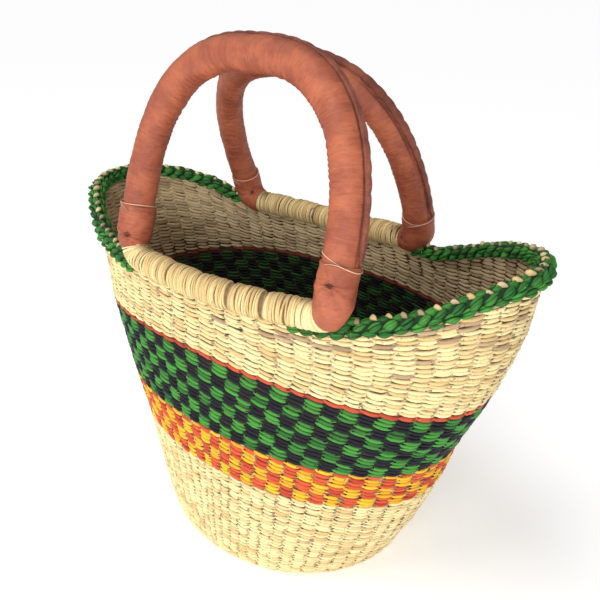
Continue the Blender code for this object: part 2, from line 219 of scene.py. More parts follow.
bpy.ops.mesh.primitive_plane_add(size=FLOOR_SIZE)
floor = bpy.context.object
floor.name = "floor"
floor_material = bpy.data.materials.new("pale floor")
floor_material.use_nodes = True
floor_shader = floor_material.node_tree.nodes["Principled BSDF"]
floor_shader.inputs["Base Color"].default_value = FLOOR_COLOUR
floor_shader.inputs["Roughness"].default_value = 0.85
floor_shader.inputs["Emission Color"].default_value = WHITE
floor_shader.inputs["Emission Strength"].default_value = FLOOR_GLOW
floor.data.materials.append(floor_material)

world = bpy.data.worlds.new("soft sky")
bpy.context.scene.world = world
world.use_nodes = True
sky = world.node_tree
background = sky.nodes["Background"]
background.inputs["Color"].default_value = WHITE
seen = sky.nodes.new("ShaderNodeLightPath")
strength = sky.nodes.new("ShaderNodeMapRange")
strength.inputs["To Min"].default_value = SKY_STRENGTH
strength.inputs["To Max"].default_value = 1.0
sky.links.new(seen.outputs["Is Camera Ray"], strength.inputs["Value"])
sky.links.new(strength.outputs["Result"], background.inputs["Strength"])

bpy.ops.object.light_add(type="SUN")
sun = bpy.context.object
sun.name = "broad sun"
sun.rotation_euler = SUN_DIRECTION.to_track_quat("Z", "Y").to_euler()
sun.data.angle = SUN_SPREAD
sun.data.energy = SUN_STRENGTH

bpy.ops.object.light_add(type="AREA", location=PANEL_PLACE)
panel = bpy.context.object
panel.name = "low front panel"
panel.rotation_euler = (PANEL_PLACE - PANEL_AIM).to_track_quat("Z", "Y").to_euler()
panel.data.shape = "RECTANGLE"
panel.data.size, panel.data.size_y = PANEL_SIZE
panel.data.energy = PANEL_POWER
bpy.context.scene.view_settings.view_transform = "Standard"

# %% [markdown]
# ## Writing shader sums in Python
#
# A material in Blender is a graph of nodes. Long graphs are hard to read as lists of
# links, so one small class wraps a socket and lets Python's own signs add the Math
# nodes: `1 - mask` is a node, and so is `grain * 0.5`. A second class holds a material
# and has one method that adds any other node.

# %% Sockets that can be added and multiplied
class Wire:
    """An output socket of a material, which can stand in a sum."""

    def __init__(self, paint, socket):
        self.paint = paint
        self.socket = socket

    def sum_with(self, other, operation, swap=False):
        pair = (other, self) if swap else (self, other)
        return self.paint.node("ShaderNodeMath", {"operation": operation}, dict(enumerate(pair)))

    def __add__(self, other):
        return self.sum_with(other, "ADD")

    def __radd__(self, other):
        return self.sum_with(other, "ADD", swap=True)

    def __sub__(self, other):
        return self.sum_with(other, "SUBTRACT")

    def __rsub__(self, other):
        return self.sum_with(other, "SUBTRACT", swap=True)

    def __mul__(self, other):
        return self.sum_with(other, "MULTIPLY")

    def __rmul__(self, other):
        return self.sum_with(other, "MULTIPLY", swap=True)

    def __pow__(self, other):
        return self.sum_with(other, "POWER")


class Paint:
    """A material, its Principled shader and a way to add nodes to it."""

    def __init__(self, name):
        self.material = bpy.data.materials.new(name)
        self.material.use_nodes = True
        self.tree = self.material.node_tree
        self.shader = self.tree.nodes["Principled BSDF"]

    def node(self, kind, settings=None, values=None, output=0):
        made = self.tree.nodes.new(kind)
        for key, value in (settings or {}).items():
            if key == "stops":
                self.set_stops(made.color_ramp, value)
            else:
                setattr(made, key, value)
        for key, value in (values or {}).items():
            self.feed(made.inputs[key], value)
        return Wire(self, made.outputs[output])

    def set_stops(self, ramp, stops):
        while len(ramp.elements) < len(stops):
            ramp.elements.new(1.0)
        for element, (place, colour) in zip(ramp.elements, stops):
            element.position = place
            element.color = (*colour, 1.0)

    def feed(self, socket, value):
        if isinstance(value, Wire):
            self.tree.links.new(value.socket, socket)
        elif socket.type == "RGBA":
            socket.default_value = (*value, 1.0)
        else:
            socket.default_value = value

    def mix(self, share, first, second):
        """A colour between two colours."""
        return self.node("ShaderNodeMix", {"data_type": "RGBA"}, {0: share, 6: first, 7: second}, 2)

    def smooth_step(self, value, low, high):
        """0 below low, 1 above high, and a smooth way between."""
        limits = {"Value": value, "From Min": low, "From Max": high}
        return self.node("ShaderNodeMapRange", {"interpolation_type": "SMOOTHSTEP"}, limits)

    def noise(self, place, scale, detail=3.0, roughness=0.55):
        values = {"Vector": place, "Scale": scale, "Detail": detail, "Roughness": roughness}
        return self.node("ShaderNodeTexNoise", None, values, "Fac")

    def stretched(self, place, scale):
        """A place stretched along its axes, for a grain that runs one way."""
        return self.node("ShaderNodeVectorMath", {"operation": "MULTIPLY"}, {0: place, 1: scale})

    def bump(self, height, strength, distance):
        values = {"Height": height, "Strength": strength, "Distance": distance}
        return self.node("ShaderNodeBump", None, values)

    def set(self, **values):
        names = {"colour": "Base Color", "roughness": "Roughness", "normal": "Normal"}
        for key, value in values.items():
            self.feed(self.shader.inputs[names[key]], value)
        return self.material


# %% [markdown]
# ## Straw, plain and dyed
#
# Straw is a split stalk of grass: pale gold, with fine lines along it and a slight gloss on
# the skin. Painted shade darkens each strand at its sides, its lower side most, and at its
# ends, where it bends into the weave and out of the light. No two strands have the same
# tone, so each stitch carries a number of its own, and the material mixes its light and
# its dark colour by that number. The fine lines follow the strand, so they are drawn in
# the stitch's own map, along and around it. The same recipe makes the dyed straws, and
# darker copies of them in painted shade.

# %% Straw materials
def dim(colour, share):
    """The same colour, darker."""
    return tuple(part * share for part in colour)


def straw(name, light, dark, fleck, fleck_start):
    """Straw between two colours, with flecks, and with painted shade at its sides and its ends."""
    paint = Paint(name)
    place = paint.node("ShaderNodeUVMap", {"uv_map": "strand"})
    tone, bend, edge = (paint.node("ShaderNodeAttribute", {"attribute_name": mark}, None, "Fac")
                        for mark in ("tone", "bend", "edge"))
    lines = paint.noise(paint.stretched(place, (0.35, 5.0, 1.0)), 1.0, 3.0, 0.6)
    spots = paint.noise(paint.stretched(place, (0.5, 1.2, 1.0)), 0.8, 2.0)
    share = paint.smooth_step(tone * 0.75 + lines * 0.5 - 0.12, 0.15, 0.85)
    flecks = paint.smooth_step(spots, fleck_start, fleck_start + 0.12) * 0.7
    colour = paint.mix(flecks, paint.mix(share, light, dark), fleck)
    # Painted shade at the strand's sides, most on its lower side
    colour = paint.mix(paint.smooth_step(edge, 0.45, 1.05) * 0.62, colour, dim(dark, 0.62))
    # Painted shade at the strand's ends, where it dives between the ribs
    colour = paint.mix(paint.smooth_step(bend, 0.60, 1.0) * 0.75, colour, dim(dark, 0.30))
    paint.shader.inputs["Specular IOR Level"].default_value = 0.28
    return paint.set(colour=colour, roughness=0.48 + lines * 0.3, normal=paint.bump(lines, 0.35, 0.0004))


# Columns: the dye, its material, its light and dark colours, its flecks and where they start.
# The last three rows are no dyes: they are straws in painted shade.
RECIPES = (
    ("natural", "natural straw", (0.92, 0.77, 0.40), (0.66, 0.46, 0.20), (0.50, 0.30, 0.12), 0.60),
    ("mauve", "weathered straw", (0.52, 0.37, 0.22), (0.36, 0.24, 0.14), (0.64, 0.47, 0.26), 0.62),
    ("yellow", "yellow straw", (0.85, 0.50, 0.02), (0.72, 0.33, 0.015), (0.75, 0.62, 0.30), 0.62),
    ("orange", "orange straw", (0.68, 0.10, 0.03), (0.48, 0.045, 0.02), (0.78, 0.30, 0.12), 0.62),
    ("green", "green straw", (0.065, 0.30, 0.040), (0.018, 0.11, 0.020), (0.26, 0.44, 0.10), 0.66),
    ("black", "black straw", (0.007, 0.006, 0.014), (0.003, 0.0025, 0.006), (0.05, 0.04, 0.045), 0.78),
    ("red", "red straw", (0.55, 0.085, 0.035), (0.36, 0.045, 0.02), (0.66, 0.26, 0.16), 0.62),
    ("shaded", "shaded straw", (0.72, 0.56, 0.33), (0.43, 0.31, 0.18), (0.28, 0.18, 0.09), 0.60),
    ("deep green", "shaded green straw", (0.030, 0.13, 0.025), (0.010, 0.05, 0.012), (0.10, 0.18, 0.05), 0.66),
    ("deep red", "shaded red straw", (0.32, 0.055, 0.030), (0.18, 0.030, 0.018), (0.40, 0.16, 0.10), 0.62),
)
STRAWS = [straw(*recipe[1:]) for recipe in RECIPES]
DYE_AND_SHADE = {recipe[0]: number for number, recipe in enumerate(RECIPES)}
# Inside the bag, each straw gives way to a copy of it in painted shade
INSIDE_PAINTED_SHADE = {"natural": "shaded", "yellow": "shaded", "orange": "deep red", "green": "deep green",
               "red": "deep red"}

# %% [markdown]
# ## Laying strands
#
# A stitch is a strand seen for a short way: fat in the middle, thinner where it dives
# behind its neighbours. Seven rings of five points make one, or five rings of four where
# it hardly shows, which is a few dozen faces, so thousands of them stay light. One
# function takes the middle line of many strands at once, as arrays, and joins them into
# one mesh. Modelling them one by one with operators would take Blender hours, which is
# why this piece is made from arrays.

# %% A function that joins many strands into one mesh
def build_mesh(name, points, faces, looks, slots):
    """A mesh from arrays: points, then groups of faces that have the same corner count."""
    mesh = bpy.data.meshes.new(name)
    corners = np.concatenate([group.ravel() for group in faces]).astype(np.int32)
    sizes = np.concatenate([np.full(len(group), group.shape[1]) for group in faces])
    mesh.vertices.add(len(points))
    mesh.vertices.foreach_set("co", points.astype(np.float32).ravel())
    mesh.loops.add(len(corners))
    mesh.polygons.add(len(sizes))
    mesh.polygons.foreach_set("loop_start", (np.cumsum(sizes) - sizes).astype(np.int32))
    mesh.polygons.foreach_set("vertices", corners)
    for look in looks:
        mesh.materials.append(look)
    mesh.polygons.foreach_set("material_index", slots.astype(np.int32))
    mesh.update(calc_edges=True)
    mesh.shade_smooth()
    piece = bpy.data.objects.new(name, mesh)
    bpy.context.scene.collection.objects.link(piece)
    return piece, corners


def set_marks(mesh, name, values):
    """A number for each point of a mesh, which its material can read."""
    mesh.attributes.new(name, "FLOAT", "POINT").data.foreach_set("value", values.astype(np.float32).ravel())


# How dark the painted shade on a strand's lower and upper side is
LOWER_SIDE_SHADE = 1.10
UPPER_SIDE_SHADE = 0.75


def lay_strands(name, middle, side, out, half_width, half_depth, dyes, tone, looks=STRAWS, profile=5):
    """Strands along middle[strand, station], each a closed body with its own tone."""
    strands, stations, _ = middle.shape
    turns = 2 * np.pi * (np.arange(profile) + 0.5) / profile
    ring = (side[:, :, None, :] * (half_width[:, :, None] * np.cos(turns))[..., None]
            + out[:, :, None, :] * (half_depth[:, :, None] * np.sin(turns))[..., None])
    points = (middle[:, :, None, :] + ring).reshape(-1, 3)
    points[:, 2] = np.maximum(points[:, 2], 0.0)
    grid = np.arange(strands * stations * profile).reshape(strands, stations, profile)
    turned = np.roll(grid, -1, axis=2)
    walls = np.stack([grid[:, :-1], turned[:, :-1], turned[:, 1:], grid[:, 1:]], axis=-1).reshape(-1, 4)
    ends = np.concatenate([grid[:, 0, ::-1], grid[:, -1, :]])
    slots = np.concatenate([np.repeat(dyes, (stations - 1) * profile), dyes, dyes])
    piece, corners = build_mesh(name, points, [walls, ends], looks, slots)
    share = np.broadcast_to(np.linspace(-1, 1, stations)[None, :, None], grid.shape)
    tones = np.broadcast_to(tone[:, None, None], grid.shape)
    # Painted shade on each strand's sides, strongest on its lower side
    edge = np.where(np.cos(turns) < 0, -LOWER_SIDE_SHADE, UPPER_SIDE_SHADE) * np.cos(turns)
    mesh = piece.data
    set_marks(mesh, "tone", tones)
    # Painted shade towards each strand's ends, where it dives into the weave
    set_marks(mesh, "bend", np.abs(share))
    set_marks(mesh, "edge", np.broadcast_to(edge, grid.shape))
    length = np.linalg.norm(np.diff(middle, axis=1), axis=-1).sum(axis=1) * 1000
    # The tone also shifts the map, so that no two strands show the same lines
    along = (share + 1) / 2 * length[:, None, None] + tones * 300
    around = np.broadcast_to(np.arange(profile)[None, None, :] / profile * 4.0, grid.shape) + tones * 90
    flat = np.stack([along.ravel(), around.ravel()], axis=-1)[corners]
    mesh.uv_layers.new(name="strand").data.foreach_set("uv", flat.astype(np.float32).ravel())
    bm = bmesh.new()
    bm.from_mesh(mesh)
    bmesh.ops.recalc_face_normals(bm, faces=bm.faces)
    bm.to_mesh(mesh)
    bm.free()
    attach(piece, BODY)
    print(name, strands, "strands", sum(len(face.vertices) - 2 for face in mesh.polygons), "triangles")
    return piece


chance = np.random.default_rng(7)

# %% [markdown]
# ## Ribs and rows
#
# The bag has 72 ribs, spaced evenly round its middle. Rows of stitches are spaced evenly
# up each rib, a little over 3 mm apart. The colours come in bands: plain straw, squares
# of yellow and orange, squares of green and black, one red line, then plain straw to the
# rim. The rim is higher at the two tips than over the sides, so more rows fit there. The
# lower ones follow the red line and the upper ones follow the rim, and the rows that end
# in between fill the wedge, as they do on the real bag.

# %% Where the ribs stand
RIBS = 72
ROW = 0.00325
EVEN_LEVEL = 5.5

fine_angles = np.linspace(-np.pi, np.pi, 4001)


def lengths_round(level):
    """Length round the wall at a level, up to each of fine_angles."""
    return distances(wall_at(fine_angles, level))


middle_lengths, rim_lengths = lengths_round(EVEN_LEVEL), lengths_round(TOP_LEVEL)


def rib_angle(rib, level=EVEN_LEVEL):
    """The angle of a rib's middle at a level; halves are the gaps between two ribs."""
    share = np.mod(rib / RIBS, 1.0)
    whole = np.floor(rib / RIBS)
    below = np.interp(share * middle_lengths[-1], middle_lengths, fine_angles)
    above = np.interp(share * rim_lengths[-1], rim_lengths, fine_angles)
    rise = np.clip((np.asarray(level, float) - EVEN_LEVEL) / (TOP_LEVEL - EVEN_LEVEL), 0, 1)
    return below + (above - below) * rise + 2 * np.pi * whole


for place, lengths in (("middle", middle_lengths), ("rim", rim_lengths)):
    print("rib spacing in mm at the", place, round(lengths[-1] / RIBS * 1000, 2))

# %% Where the rows run
# Columns: first level, last level, rows, rows to a square, and the two dyes
BANDS = (
    (0.1, 4.0, 29, 0, "natural", "natural"),
    (4.0, 5.0, 10, 3, "yellow", "orange"),
    (5.0, 6.0, 18, 3, "green", "black"),
    (6.0, 6.09, 1, 1, "red", "red"),
    (6.09, 8.0, 0, 0, "natural", "natural"),
)
LEVEL_STEPS = np.linspace(0, TOP_LEVEL, 801)
# Where, up the last band, the rows leave the red line's course, and how soon they reach the rim's
CHANGE_START = 0.3
CHANGE_SPAN = 0.4


def rib_lengths(angle):
    """Length up a rib from the floor to each of LEVEL_STEPS."""
    return distances(wall_at(angle, LEVEL_STEPS))


def row_levels(rib):
    """The level of each row's middle on a rib, its spacing, and the dye of its stitch."""
    lengths = rib_lengths(rib_angle(rib))
    levels, heights, dyes = [], [], []
    for first, last, count, square, dye_even, dye_odd in BANDS:
        low, high = np.interp((first, last), LEVEL_STEPS, lengths)
        free = count == 0
        count = count or max(int(round((high - low) / ROW)), 1)
        spacing = (high - low) / count
        for row in range(count):
            place = low + (row + 0.5) * spacing
            if free:
                from_below = low + (row + 0.5) * ROW
                from_above = high - (count - row - 0.5) * ROW
                share = min(max((row / count - CHANGE_START) / CHANGE_SPAN, 0.0), 1.0)
                place = from_below + (from_above - from_below) * share
            odd = (rib + (row // square if square else 0)) % 2
            levels.append(np.interp(place, lengths, LEVEL_STEPS))
            heights.append(spacing)
            dyes.append(DYE_AND_SHADE[dye_odd if odd else dye_even])
    return levels, heights, dyes


# %% [markdown]
# ## The stitches of the wall
#
# Each stitch starts high in the gap on its left, droops over its rib and dives into the
# gap on its right a little lower, so the rows look like overlapping scales. The same
# rows show inside the bag, as the other side of the same weave, in darker copies of
# their straws that are painted shade.

# %% Stitches outside and inside
# Stations along a stitch and corners round it, where it shows well and where it doesn't
FINE = (7, 5)
PLAIN = (5, 4)
OVERLAP = 0.70
DROOP = 0.0013
TWIST = 0.0010
DIVE = 0.0009
END_DIVE = 0.0015
STITCH_HEIGHT = 0.54
STITCH_TAPER = 0.80
STITCH_DEPTH = 0.00145
STITCH_THINNING = 0.00075
PLACE_JITTER = 0.045
SIZE_JITTER = 0.08
# The weathered streak: its ribs in shares of them all, its levels, and its share of stitches
STREAK_RIBS = (0.30, 0.46)
STREAK_LEVELS = (7.45, 7.88)
STREAK_SHARE = 0.32
STRAY_LEVEL = 6.6
STRAY_SHARE = 0.025
ORANGE_SHARE = 0.25


def recolour(ribs, levels, dyes):
    """Some stitches are of another straw: most in a streak under the front right rim."""
    dyes = dyes.copy()
    plain = dyes == DYE_AND_SHADE["natural"]
    front_right = (ribs > STREAK_RIBS[0] * RIBS) & (ribs < STREAK_RIBS[1] * RIBS)
    streak = front_right & (levels > STREAK_LEVELS[0]) & (levels < STREAK_LEVELS[1])
    share = np.where(streak, STREAK_SHARE, STRAY_SHARE)
    dyes[plain & (levels > STRAY_LEVEL) & (chance.random(len(dyes)) < share)] = DYE_AND_SHADE["mauve"]
    line = dyes == DYE_AND_SHADE["red"]
    dyes[line & (chance.random(len(dyes)) < ORANGE_SHARE)] = DYE_AND_SHADE["orange"]
    return dyes


def stitch_wall(name, keep, depth_sign, detail):
    """Stitches of the rows that keep() chooses: 1 is the outside, -1 the inside."""
    stations, corners = detail
    chosen = [(rib, *row) for rib in range(RIBS) for row in zip(*row_levels(rib)) if keep(row[0])]
    ribs, levels, heights, dyes = (np.array(values) for values in zip(*chosen))
    count = len(ribs)
    share = np.linspace(-1, 1, stations)
    ribs_there = ribs[:, None] + chance.normal(0, PLACE_JITTER, (count, 1)) + share * OVERLAP
    spots = np.broadcast_to(levels[:, None], ribs_there.shape)
    angles = rib_angle(ribs_there, spots)
    surface = wall_at(angles, spots)
    round_way, up_way, out = wall_axes(angles, spots)
    lift = DROOP * share ** 2 - DROOP * 0.4 - TWIST * share * depth_sign
    lift = lift + chance.normal(0, 0.00018, (count, 1)) + chance.normal(0, 0.00012, (count, stations))
    dive = DIVE + END_DIVE * share ** 4 + chance.normal(0, 0.00016, (count, 1))
    if depth_sign < 0:
        dive = WALL - dive
    middle = surface + up_way * lift[..., None] - out * dive[..., None]
    fat = STITCH_HEIGHT * (1 - STITCH_TAPER * np.abs(share) ** 2.4) * heights[:, None]
    fat = fat * chance.normal(1.0, SIZE_JITTER, (count, 1))
    thick = (STITCH_DEPTH - STITCH_THINNING * share ** 2) * chance.normal(1.0, SIZE_JITTER, (count, 1))
    tone = chance.beta(1.3, 2.2, count)
    dyes = recolour(ribs, levels, dyes)
    # Inside, the straws in painted shade take their place
    if depth_sign < 0:
        for outside, inside in INSIDE_PAINTED_SHADE.items():
            dyes[dyes == DYE_AND_SHADE[outside]] = DYE_AND_SHADE[inside]
    return lay_strands(name, middle, up_way, out, fat, thick, dyes, tone, profile=corners)


SIDES = {"outside": 1, "inside": -1}
# The levels of each part of the wall, and the detail of its inside
PARTS = {
    "base": (lambda level: level < 4.0, PLAIN),
    "checks": (lambda level: 4.0 <= level < 6.05, PLAIN),
    "top": (lambda level: level >= 6.05, FINE),
}
for side_name, depth_sign in SIDES.items():
    for part_name, (keep, inside_detail) in PARTS.items():
        detail = FINE if depth_sign > 0 else inside_detail
        stitch_wall(f"weave_{side_name}_{part_name}", keep, depth_sign, detail)

# %% [markdown]
# ## The base
#
# The base is twined too, in ovals that start in the middle. Near the middle there is no
# room for 72 ribs, so the weaver starts with a few and adds more on the way out. The
# stitches here lie in flat rings, once for the underside and once for the floor inside,
# both of straw in painted shade.

# %% Rings of stitches under the bag and on its floor
# Columns: share of the base's size from which on, and the ribs there
BASE_RIBS = ((0.00, 9), (0.14, 18), (0.32, 36), (0.64, 72))
BASE_DIVE = 0.0007
BASE_DROOP = 0.6


def stitch_base(name, height, size):
    outline = wall_at(rib_angle(np.arange(0, RIBS, 0.125)), 0.1)[:, :2] * size
    corner_count = len(outline)
    numbers, closed = np.arange(corner_count + 1), np.vstack([outline, outline[:1]])
    rings = int(outline[:, 0].max() / ROW)
    stations, corners = PLAIN
    share = np.linspace(-1, 1, stations)
    middle, side, tone = [], [], []
    for ring in range(1, rings):
        scale = 1 - (ring - 0.5) / rings
        ribs = [count for start, count in BASE_RIBS if scale >= start][-1]
        spots = (np.arange(ribs)[:, None] + share * OVERLAP) / ribs * corner_count
        line = np.stack([np.interp(spots, numbers, closed[:, axis], period=corner_count)
                         for axis in range(2)], axis=-1)
        sink = BASE_DIVE * share ** 4 * (1 if height > WALL / 2 else -1)
        level = np.broadcast_to(height - sink, spots.shape)
        place = np.concatenate([line * scale, level[..., None]], axis=-1)
        inward = -unit(place * (1, 1, 0))
        middle.append(place + inward * (DROOP * share ** 2 * BASE_DROOP)[..., None])
        side.append(inward)
        tone.append(np.clip(chance.beta(1.5, 2.4, ribs), 0, 1))
    middle, side, tone = np.concatenate(middle), np.concatenate(side), np.concatenate(tone)
    out = np.broadcast_to(np.array([0, 0, 1.0]), middle.shape)
    fat = np.broadcast_to(0.0017 - 0.0008 * share ** 4, middle.shape[:2])
    thick = np.broadcast_to(0.0009 - 0.0003 * share ** 4, middle.shape[:2])
    # Straw in painted shade, under the bag and on its floor inside
    dyes = np.full(len(tone), DYE_AND_SHADE["shaded"])
    return lay_strands(name, middle, side, out, fat, thick, dyes, tone, profile=corners)


stitch_base("weave_underside", 0.0009, 1.0)
stitch_base("weave_floor", WALL - 0.0006, 0.97)

# %% [markdown]
# ## The dark heart of the wall
#
# Between the stitches one looks into the wall, at ribs and shadow. A copy of the wall's
# own solid stands for that: its loose triangles are merged, and then it is shrunk from
# both sides, so it lies in the middle of the weave and closes every slit.

# %% Heart of the wall
MERGE_DISTANCE = 0.00001


def in_edit_mode(operator, **settings):
    """Runs an operator on all of the active object's mesh."""
    bpy.ops.object.mode_set(mode="EDIT")
    bpy.ops.mesh.select_all(action="SELECT")
    operator(**settings)
    bpy.ops.object.mode_set(mode="OBJECT")


def core_of(node, name, amount, look):
    """A copy of a solid, merged and shrunk a little, that closes the gaps between strands."""
    bpy.ops.object.select_all(action="DESELECT")
    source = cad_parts[node]
    piece = source.copy()
    piece.data = source.data.copy()
    piece.name = name
    bpy.context.scene.collection.objects.link(piece)
    for key in list(piece.keys()):
        del piece[key]
    piece.parent = None
    bpy.context.view_layer.objects.active = piece
    piece.select_set(True)
    in_edit_mode(bpy.ops.mesh.remove_doubles, threshold=MERGE_DISTANCE)
    in_edit_mode(bpy.ops.transform.shrink_fatten, value=-amount)
    piece.data.materials.clear()
    piece.data.materials.append(look)
    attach(piece, BODY)
    return piece


def shade(name, light, dark):
    """Painted shade: a matt, dark material for what shows between two strands."""
    paint = Paint(name)
    place = paint.node("ShaderNodeTexCoord", None, None, "Object")
    return paint.set(colour=paint.mix(paint.noise(place, 320.0), light, dark), roughness=0.9)


# The cores of the wall, the rolls and the braid, all in painted shade
HEART = shade("straw in deep shade", (0.10, 0.062, 0.025), (0.035, 0.022, 0.012))
ROLL_SHADE = shade("straw in shade", (0.27, 0.18, 0.08), (0.14, 0.088, 0.038))
BRAID_SHADE = shade("green straw in shade", (0.012, 0.036, 0.009), (0.005, 0.014, 0.005))

heart = core_of("basket_body", "wall_heart", 0.0009, HEART)
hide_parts("basket_body")
print("heart of the wall:", [round(size, 4) for size in heart.dimensions])

# %% [markdown]
# ## The rim line, for what stands on it
#
# Everything on the rim follows one line: the middle of the braid. A place on it is given
# by an angle, as on the wall, and comes with three directions: along the rim to the
# right, up, and out of the bag.

# %% Places on the rim
RIM_STRAY = STRAY * SECTIONS[-1, 6]
RIM_SQUARE = SECTIONS[-1, 3]


def angle_along(along, side):
    """The angle at a distance along the mouth, on its front or rear side."""
    reach = (along - RIM_STRAY) / (MOUTH_LENGTH / 2 - WALL / 2)
    return side * np.arccos(signed_power(reach, RIM_SQUARE / 2))


def rim_places(angle):
    """Points in the middle of the braid, and the directions along, up and out."""
    angle = np.asarray(angle, float)
    along, _, out = wall_axes(angle, np.full(angle.shape, TOP_LEVEL - 0.01))
    out = unit(out * (1, 1, 0))
    point = wall_at(angle, TOP_LEVEL) - out * WALL / 2
    point[..., 2] = rim_line(angle)
    up = unit(np.cross(out, along))
    return point, along, up, out


# %% [markdown]
# ## The green braid
#
# The weaver bends each rib over and plaits it along the rim with dyed straw. From outside
# it is two rows of fat, slanting lumps, one to a rib, with the pale fold of the rib
# peeping out on top. From inside it is a darker row or two of the same. Each lump is
# three short strands side by side, so the function that laid the stitches lays these as
# well. A copy of the braid's own solid, dark green in painted shade, fills the middle.
# On the right, the braid's lowest row runs on for a few lumps under the roll.

# %% Braid lumps and rib folds
BRAID_BAND = 0.0105
BRAID_STEP = 0.72
LUMP_STATIONS = 8
ROW_TUCK = 0.012
FOLD_TUCK = 0.006
TAIL_UNDER_ROLL = {-1: 0.012, 1: 0.046}
ROLL_LENGTH = 0.136
HANDLE_SPAN = 0.177
CUFF_REACH = 0.0130

Handle = namedtuple("Handle", "name side centre lean span rise sway left_cuff right_cuff")
HANDLES = (
    Handle("front", -1, 0.0129, 18.0, 1.00, 1.00, -0.2, 0.26, 0.27),
    Handle("rear", 1, -0.0211, 21.0, 1.03, 0.98, -0.9, 0.20, 0.19),
)

# Columns: height and offset out of the bag of a lump's left and right end, its half width
# and half thickness, all in shares of the braid's height, and where it starts and ends
BRAID_ROWS = (
    (-0.30, 0.44, -0.24, 0.46, 0.25, 0.21, -0.54, 0.46),
    (-0.02, 0.46, 0.30, 0.34, 0.25, 0.21, -0.10, 0.88),
    (0.40, 0.16, 0.34, -0.14, 0.22, 0.19, -0.54, 0.46),
    (0.22, -0.42, 0.02, -0.46, 0.25, 0.18, -0.54, 0.46),
    (-0.12, -0.46, -0.36, -0.42, 0.25, 0.18, -0.10, 0.88),
)
FOLD_ROW = (0.36, -0.12, 0.42, 0.12, 0.24, 0.22, -0.04, 0.56)
# How far a lump's outer strands lie from its middle, in shares of its half width
STRAND_SPREAD = 0.62


def braid_ribs(end, tuck):
    """Places of the lumps between the cuffs, on the left or the right, in rib spacings."""
    found = []
    for rib in np.arange(0, RIBS, BRAID_STEP):
        angle = rib_angle(rib, TOP_LEVEL)
        point, *_ = rim_places(np.array([angle]))
        handle = HANDLES[0 if math.sin(angle) < 0 else 1]
        if (point[0, 0] - handle.centre) * end > HANDLE_SPAN / 2 * handle.span + CUFF_REACH - tuck:
            found.append(rib)
    return np.array(found)


def lay_lumps(name, ribs, row, dyes, strands=3, arch_rise=0.06, jitter=0.0004):
    """Lumps of a braid row, with some strands side by side in each."""
    low, out_low, high, out_high, wide, deep, first, last = row
    share = np.linspace(0, 1, LUMP_STATIONS)
    lump_tone = np.repeat(chance.random(len(ribs)), strands)
    spread_of = np.linspace(-STRAND_SPREAD, STRAND_SPREAD, strands) if strands > 1 else np.zeros(1)
    across = np.tile(spread_of, len(ribs))
    ribs, dyes = np.repeat(ribs, strands), np.repeat(dyes, strands)
    count = len(ribs)
    place = first + (last - first) * share + chance.normal(0, 0.05, (count, 1))
    point, along, up, out = rim_places(rib_angle(ribs[:, None] + place * BRAID_STEP, TOP_LEVEL))
    arch = np.sin(np.pi * share)
    rise = (low + (high - low) * share + arch_rise * arch) * BRAID_BAND
    push = (out_low + (out_high - out_low) * share) * BRAID_BAND + np.sign(out_low) * (arch - 0.6) * 0.0012
    middle = point + up * (rise + chance.normal(0, jitter, (count, 1)))[..., None]
    middle = middle + out * (push + chance.normal(0, jitter, (count, 1)))[..., None]
    swell = (0.20 + 0.80 * arch ** 0.7) * chance.normal(1.0, 0.10, (count, 1))
    slim = 0.46 if strands > 1 else 0.90
    width, depth = wide * slim * BRAID_BAND * swell, deep * 0.78 * BRAID_BAND * swell
    lean = unit(out * (out_low + out_high) / 2 + up * 0.35)
    side = unit(np.cross(lean, along))
    spread = across[:, None] * wide * BRAID_BAND * (0.35 + 0.65 * arch)
    middle = middle + side * spread[..., None] - lean * (np.abs(spread) * 0.22)[..., None]
    tone = np.clip(lump_tone * 0.75 + chance.random(count) * 0.35, 0, 1)
    return lay_strands(name, middle, side, lean, width, depth, dyes, tone, STRAWS, 7)


for end, end_name in ((-1, "left"), (1, "right")):
    core = core_of(f"rim_braid_{end_name}", f"braid_core_{end_name}", 0.0004, BRAID_SHADE)
    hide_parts(f"rim_braid_{end_name}")
    for row_number, row in enumerate(BRAID_ROWS):
        ribs = braid_ribs(end, TAIL_UNDER_ROLL[end] if row_number == 0 else ROW_TUCK)
        dyes = np.full(len(ribs), DYE_AND_SHADE["green"])
        lay_lumps(f"braid_{end_name}_row_{row_number}", ribs, row, dyes)
    ribs = braid_ribs(end, FOLD_TUCK)
    dyes = chance.choice([DYE_AND_SHADE["shaded"], DYE_AND_SHADE["mauve"], DYE_AND_SHADE["natural"]], len(ribs), p=[0.4, 0.1, 0.5])
    lay_lumps(f"braid_{end_name}_folds", ribs, FOLD_ROW, dyes, 1, 0.10, 0.0005)
    print(end_name, "braid ribs:", len(ribs))

# %% [markdown]
# ## The ways of the handles
#
# Each handle is an arch in a plane that leans in over the mouth, a little squarer than a
# half circle. At its foot it bends outwards and becomes the roll that is wound over the
# rim. The same curve carries the leather, the seam, the cuffs and the threads, so it is
# written once, as points along it, from the right foot over the top to the left foot.

# %% Curves of a handle
HANDLE_THICKNESS = 0.0225
HANDLE_RISE = 0.150
HANDLE_FOOT_RISE = 0.008
HANDLE_SHOULDER = 0.024
HANDLE_CROWN = HANDLE_RISE - HANDLE_SHOULDER
HANDLE_SQUARENESS = 2.65
HANDLE_SWAY = 0.006
HANDLE_INSET = 0.0045
ELBOW_ROUNDNESS = 0.58
ROLL_WIDTH = 0.0185
ROLL_HEIGHT = 0.0195
ROLL_RISE = 0.0072


def roll_place(handle, along):
    """Middle of a roll, at distances from the handle's centre, with its directions."""
    place = angle_along(handle.centre + np.asarray(along, float), handle.side)
    point, forward, up, out = rim_places(place)
    point[..., 2] += ROLL_RISE
    return point, forward * np.sign(forward[..., :1]), np.abs(up), out


